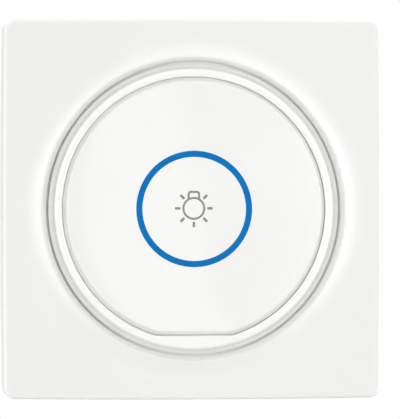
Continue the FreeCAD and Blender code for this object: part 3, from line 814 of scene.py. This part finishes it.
base = {
    "half": 40.7, "bow": 0.3, "corner": 0.9, "sideSteps": 60, "cornerSteps": 8, "notchHalf": 6.0,
    "back": 0.4, "floor": 2.0, "top": 3.8, "wall": 1.5, "edge": 0.25, "fillet": 0.3, "soft": 0.1, "root": 0.3,
    "hub": 1.0, "recess": 20.0, "recessDeep": 0.8, "recessCorner": 3.0,
    "slotX": 30.15, "slotLength": 8.0, "slotWidth": 4.2, "slotFlare": 0.35, "slotOver": 1.0,
    "web": (0.4, 0.6), "ribX": 19.0, "ribWidth": 1.2, "ribHeight": 0.8,
    "lugUp": 20.0, "lugLength": 8.0, "lugReach": 0.35, "lugHeight": 0.8,
    "boardGap": 0.15, "railWidth": 2.0, "railInset": 4.0, "fenceThick": 1.2, "fenceLength": 10.0,
    "catchLength": 5.0, "catchReach": 0.5, "catchGap": 0.05, "catchHeight": 0.8,
    "markRadius": 33.0, "markSize": 1.9, "markLine": 0.16, "markProud": 0.03, "markRoot": 0.2, "markCount": 8,
}


def squareLoop(angles, half, corner, out):  # rounded square met at these angles
    found = []
    for a in angles:
        c, s = abs(math.cos(a)), abs(math.sin(a))
        reach = half / max(c, s)
        inner = half - corner
        if min(c, s) * reach > inner:
            along = (c + s) * inner
            reach = along + math.sqrt(along ** 2 - 2 * inner ** 2 + corner ** 2)
        found.append((reach * math.cos(a), reach * math.sin(a), out))
    return np.array(found)


def slotCutter(s, steps):  # long pocket, a little wider at the face of the floor
    reach = (s["slotLength"] - s["slotWidth"]) / 2
    loops = []
    for out, wider in steps:
        radius = s["slotWidth"] / 2 + wider
        line = arcSteps((s["slotX"] + reach, 0), radius, -90, 90, 20)
        line += arcSteps((s["slotX"] - reach, 0), radius, 90, 270, 20)
        loops.append(lifted(line, out))
    return shell(loops, False)


def cutAway(body, cutters):  # exact difference, returned as a plain mesh
    for cutter in cutters:
        modifier = body.modifiers.new("cut", "BOOLEAN")
        modifier.operation = "DIFFERENCE"
        modifier.solver = "EXACT"
        modifier.object = cutter
    mesh = bpy.data.meshes.new_from_object(body.evaluated_get(bpy.context.evaluated_depsgraph_get()))
    for made in [body] + cutters:
        bpy.data.objects.remove(made)
    return mesh


def pinMarks(s):  # round marks of the mould's ejector pins, on the back
    middle = (s["markRadius"], 0.0)
    outer = roundOutline(middle, s["markSize"], 40)
    inner = roundOutline(middle, s["markSize"] - s["markLine"], 40)
    ring = ribbonShell(outer, inner, s["back"] - s["markProud"], s["back"] + s["markRoot"])
    mark = looseObject("mark", *ring)
    step = 360 / s["markCount"]
    return copiesOf(mark, s["markCount"], step / 2, step, "baseWhite")


def slottedTray(s):
    outline = bowedOutline(s["half"], s)[:2]
    angles = bearings(outline)
    back, floor, top, inside = s["back"], s["floor"], s["top"], s["wall"]
    edge, fillet, soft = s["edge"], s["fillet"], s["soft"]
    loops = circleLoops(angles, [(s["hub"], s["recessDeep"])])
    for half, out in ((s["recess"], s["recessDeep"]), (s["recess"], back + soft), (s["recess"] + soft, back)):
        loops.append(squareLoop(angles, half, s["recessCorner"], out))
    section = arcSteps((edge, back + edge), edge, 270, 180, 6)
    section += arcSteps((edge, top - edge), edge, 180, 90, 6)
    section += [(inside - soft, top), (inside, top - soft)]
    section += arcSteps((inside + fillet, floor + fillet), fillet, 180, 270, 6)
    loops += outlineLoops(outline, section) + circleLoops(angles, [(s["hub"], floor)])
    tray = looseObject("tray", *shell(loops, False))
    flare, over = s["slotFlare"], s["slotOver"]
    webLow, webHigh = [between(back, floor, share) for share in s["web"]]  # thin web, to be knocked out
    behind = [(back - over, flare), (back, flare), (back + flare, 0.0), (webLow, 0.0)]
    before = [(webHigh, 0.0), (floor - flare, 0.0), (floor, flare), (floor + over, flare)]
    cutters = []
    for steps in (behind, before):
        points, faces = slotCutter(s, steps)
        cutters += [looseObject("slotRight", points, faces), looseObject("slotLeft", flipped(points), faces)]
    return cutAway(tray, cutters)


def wallBase():
    s = base
    part = bmesh.new()
    part.from_mesh(slottedTray(s))
    part.from_mesh(pinMarks(s))
    root = s["floor"] - s["root"]
    outer = s["half"] - s["wall"] / 2
    boardHalf = boardHigh[0]
    beside = boardHalf + s["boardGap"]
    above = boardHigh[1] + s["boardGap"]
    below = boardLow[1] - s["boardGap"]
    thick = s["fenceThick"]
    length = span(0, s["fenceLength"])
    catchLow = boardHigh[2] + s["catchGap"]
    catchHigh = catchLow + s["catchHeight"]
    rib = blockShell(span(s["ribX"], s["ribWidth"]), (-outer, outer), (root, s["floor"] + s["ribHeight"]))
    rail = blockShell((boardHalf - s["railWidth"], beside),
                      (boardLow[1] + s["railInset"], boardHigh[1] - s["railInset"]), (root, boardLow[2]))
    fence = blockShell((beside, beside + thick), length, (root, catchHigh))
    catch = blockShell((boardHalf - s["catchReach"], beside + thick / 2), span(0, s["catchLength"]),
                       (catchLow, catchHigh))
    lugs = [blockShell((outer, s["half"] + s["lugReach"]), span(up, s["lugLength"]),
                       (s["top"] - s["lugHeight"], s["top"])) for up in (-s["lugUp"], s["lugUp"])]
    addPairs(part, [rib, rail, fence, catch] + lugs, s["soft"])
    for up in ((above, above + thick), (below - thick, below)):
        addShell(part, *blockShell(length, up, (root, boardHigh[2])), s["soft"])
    return makePiece("wallBase", part, "housing", "baseWhite", ["base_plate"])


wallBase()
print("wall base made")


# foam pad on the back: rounded edges, waisted sides, a slightly uneven sticky face

pad = {"corner": 3.0, "edge": 0.2, "waist": 0.08, "dent": 0.06, "step": 0.8, "loops": 26,
       "backRound": ((0.0, 0.0), (0.3, 0.05), (0.7, 0.3), (1.0, 1.0)),
       "frontRound": ((1.0, 1.0), (0.6, 0.2), (0.0, 0.0))}


def foamPad():
    s = pad
    half = padHigh[0]
    line = roundedBox((-half, half), (-half, half), s["corner"])
    found = []
    for first, second in zip(line, np.roll(line, -1, 0)):
        count = max(1, int(np.linalg.norm(second - first) / s["step"]))
        found += [between(first, second, k / count) for k in range(count)]
    outline = np.array(found) / half
    back, front = padLow[2], padHigh[2]
    edge = s["edge"]
    least = half - edge - s["waist"]
    section = [(edge * grow, back + edge * rise) for grow, rise in s["backRound"]]
    section.append((edge + s["waist"], between(back, front, 0.5)))
    section += [(edge * grow, front - edge * fall) for grow, fall in s["frontRound"]]
    steps = [(least * share, back) for share in np.linspace(0.04, 1.0, s["loops"])[:-1]]
    steps += [(least + grow, out) for grow, out in section]
    steps += [(least * share, front) for share in (0.6, 0.1)]
    points, faces = shell([lifted(outline * reach, out) for reach, out in steps], False)
    x, up, out = points.T
    wave = np.sin(x * 0.47 + 1.1) * np.sin(up * 0.39 - 0.4) + 0.6 * np.sin(x * 0.83 - up * 0.71 + 2.0)
    near = np.clip((back + edge - out) / edge, 0, 1)
    points[:, 2] += near * s["dent"] * (0.5 + wave / 3.2)
    part = bmesh.new()
    addShell(part, points, faces)
    piece = makePiece("foamPad", part, "housing", "foamTape", ["adhesive_pad"], 60.0)
    return piece


foamPad()
print("foam pad made")


# coil antenna

coil = {"turns": 5, "radius": 1.75, "wire": 0.25, "pitch": 3.0, "across": 12.6, "start": -16.5,
        "out": 6.4, "steps": 40, "round": 12}


def woundWire():  # round wire wound on a spiral
    g, given = openTree("woundWire", {"Turns": "Float", "Radius": "Float", "Wire": "Float", "Height": "Float",
                                      "Steps": "Int", "Round": "Int", "Foot": "Vector", "Finish": "Material"})
    line = g.node("GeometryNodeCurveSpiral", None,
                  {"Resolution": given["Steps"], "Rotations": given["Turns"], "Start Radius": given["Radius"],
                   "End Radius": given["Radius"], "Height": given["Height"], "Reverse": True})
    placed = g.node("GeometryNodeTransform", None, {"Geometry": line, "Translation": given["Foot"]})
    section = g.node("GeometryNodeCurvePrimitiveCircle", None,
                     {"Resolution": given["Round"], "Radius": given["Wire"]})
    wire = g.node("GeometryNodeCurveToMesh", None,
                  {"Curve": placed, "Profile Curve": section, "Fill Caps": True})
    return closeTree(g, wire, given["Finish"])


def antennaCoil():
    s = coil
    mesh = evaluated(woundWire(), {
        "Turns": float(s["turns"]), "Radius": s["radius"] * mm, "Wire": s["wire"] * mm,
        "Height": s["turns"] * s["pitch"] * mm, "Steps": s["steps"], "Round": s["round"],
        "Foot": (s["across"] * mm, -s["out"] * mm, s["start"] * mm), "Finish": finishes["copperWire"]})
    part = bmesh.new()
    part.from_mesh(mesh)
    bmesh.ops.remove_doubles(part, verts=part.verts, dist=1e-7)
    bmesh.ops.recalc_face_normals(part, faces=part.faces)
    return makePiece("antennaCoil", part, "housing", "copperWire", ["spring_antenna"], 50.0)


antennaCoil()
print("antenna coil made")


# coin cell: rolled can, crimped over the sealing ring round the cap

cell = {"up": -10.0, "hub": 1.0, "capRadius": 8.8, "capFlat": 8.45, "capRound": 0.3, "capStep": 0.3,
        "sealFoot": 0.12, "sealTop": 0.15, "sealWidth": 0.25, "crimp": 0.55, "edge": 0.4,
        "grooveRadius": 8.4, "grooveWidth": 0.6, "grooveFloor": 0.2, "groove": 0.06}


def coinCell():
    s = cell
    radius = cellHigh[0]
    low, high = cellLow[2], cellHigh[2]
    cap, turn, crimp, edge = s["capRadius"], s["capRound"], s["crimp"], s["edge"]
    rim = low + s["capStep"]
    deep = high - s["groove"]
    section = [(s["hub"], low), (s["capFlat"], low)]
    section += arcSteps((cap - turn, low + turn), turn, 270, 360, 6)[1:]
    section += [(cap, rim + s["sealFoot"]), (cap + s["sealWidth"], rim + s["sealTop"])]
    section += arcSteps((radius - crimp, rim + crimp), crimp, 250, 360, 9)
    section += arcSteps((radius - edge, high - edge), edge, 0, 90, 8)
    inner, outer = span(s["grooveRadius"], s["grooveWidth"])
    innerFloor, outerFloor = span(s["grooveRadius"], s["grooveFloor"])
    section += [(outer, high), (outerFloor, deep), (innerFloor, deep), (inner, high), (s["hub"], high)]
    loops = [lifted(roundOutline((0, s["up"]), r, 128), out) for r, out in section]
    part = bmesh.new()
    addShell(part, *shell(loops, False))
    return makePiece("coinCell", part, "housing", "cellSteel", ["coin_cell"])


coinCell()
print("coin cell made")


# carried-over nodes get their finishes

worn = {
    "blue_ring": "inlayBlue", "circuit_board": "greenLaminate", "tact_base": "mouldedBlack",
    "tact_cover": "tinnedSteel", "tact_stem": "mouldedBlack", "snap_leaf": "tinnedSteel",
    "tact_terminals": "tinnedSteel", "negative_contact": "tinnedSteel", "battery_clip": "tinnedSteel",
    "encoder_chip": "chipBlack", "crystal_can": "crystalLid", "transmit_transistor": "transistorBlack",
    "indicator_led": "clearLens", "chip_resistors": "resistorBlack", "chip_capacitors": "capacitorTan",
}
for node, finish in worn.items():
    mesh = frame["nodes"][node].data
    mesh.materials.clear()
    mesh.materials.append(finishes[finish])
print("finishes set on", len(worn), "nodes")


# floor, background, lamps and camera

studio = {"floorUp": -200.0, "floorRadius": 260.0, "floorFade": 2.2, "background": (1.0, 1.0, 1.0, 1.0),
          "ambient": (0.056, 0.056, 0.056, 1.0), "aim": (0, 0, 10)}
lamps = {
    "frontLeft": {"place": (-420, 40, 1240), "size": (300, 300), "power": 6.8},
    "frontRight": {"place": (450, 40, 1240), "size": (200, 300), "power": 3.8},
    "frontTop": {"place": (0, 440, 1230), "size": (300, 300), "power": 1.8},
    "frontLow": {"place": (0, -440, 1230), "size": (300, 200), "power": 0.8},
    "facePanel": {"place": (65, 0, 1000), "size": (70, 260), "power": 0.06, "roll": 9.0},  # slanted gleam
    "nearTop": {"place": (150, 200, 260), "size": (80, 80), "power": 0.17},
    "rightRim": {"place": (995, 80, -25), "size": (100, 900), "power": 6.6},
    "leftRim": {"place": (-995, 80, -42), "size": (100, 900), "power": 6.0},
    "topRim": {"place": (0, 999, -15), "size": (500, 100), "power": 3.4},
    "backBox": {"place": (200, 500, -1000), "size": (600, 600), "power": 6.0},
}
shot = {"azimuth": -5.8, "elevation": 0.0, "distance": 1000.0, "aim": (1.87, -0.13, 6.0), "scale": 4.42,
        "imageHeight": 419, "sensor": 36.0}


def place(x, up, out):
    return Vector((x * mm, -out * mm, up * mm))


def paleFloor():
    s = studio
    mesh = bpy.data.meshes.new("floor")
    part = bmesh.new()
    bmesh.ops.create_circle(part, cap_ends=True, radius=s["floorRadius"] * mm, segments=128)
    part.to_mesh(mesh)
    part.free()
    mesh.transform(Matrix.Translation((0, 0, s["floorUp"] * mm)))
    floor = bpy.data.objects.new("floor", mesh)
    scene.collection.objects.link(floor)
    finish = Finish("paleFloor", Roughness=0.7, Base_Color=(0.8, 0.8, 0.8, 1.0))
    across, out = finish.split(finish.where())[:2]
    radius = (across * across + out * out) ** 0.5 / (s["floorRadius"] * mm)
    finish.set("Alpha", finish.clamped((1 - radius) * s["floorFade"]))  # fades out towards its edge
    mesh.materials.append(finish.material)


def background():
    world = bpy.data.worlds.new("studio")
    world.use_nodes = True
    scene.world = world
    g = Graph(world.node_tree)
    ray = g.outputs("ShaderNodeLightPath")
    shown = g.clamped(ray["Is Camera Ray"] + ray["Is Glossy Ray"] + ray["Is Transmission Ray"])
    tone = g.mixed(shown, studio["ambient"], studio["background"])
    g.feed(g.tree.nodes["Background"].inputs["Color"], tone)


def softLamps():
    for name, s in lamps.items():
        data = bpy.data.lights.new(name, "AREA")
        data.shape = "RECTANGLE"
        data.size = s["size"][0] * mm
        data.size_y = s["size"][1] * mm
        data.energy = s["power"]
        lamp = bpy.data.objects.new(name, data)
        lamp.location = place(*s["place"])
        facing = (place(*studio["aim"]) - lamp.location).to_track_quat("-Z", "Y")
        roll = Quaternion((0, 0, 1), math.radians(s.get("roll", 0)))
        lamp.rotation_euler = (facing @ roll).to_euler()
        scene.collection.objects.link(lamp)


def photoCamera():
    s = shot
    data = bpy.data.cameras.new("photoCamera")
    data.sensor_width = s["sensor"]
    data.lens = s["sensor"] * s["distance"] * s["scale"] / s["imageHeight"]
    camera = bpy.data.objects.new("photoCamera", data)
    a = math.radians(s["azimuth"])
    e = math.radians(s["elevation"])
    back = Vector((math.sin(a) * math.cos(e), -math.cos(a) * math.cos(e), math.sin(e)))
    camera.location = place(*s["aim"]) + back * s["distance"] * mm
    camera.rotation_euler = (-back).to_track_quat("-Z", "Y").to_euler()
    scene.collection.objects.link(camera)
    scene.camera = camera


paleFloor()
background()
softLamps()
photoCamera()
scene.view_settings.view_transform = "Standard"
print("studio set")
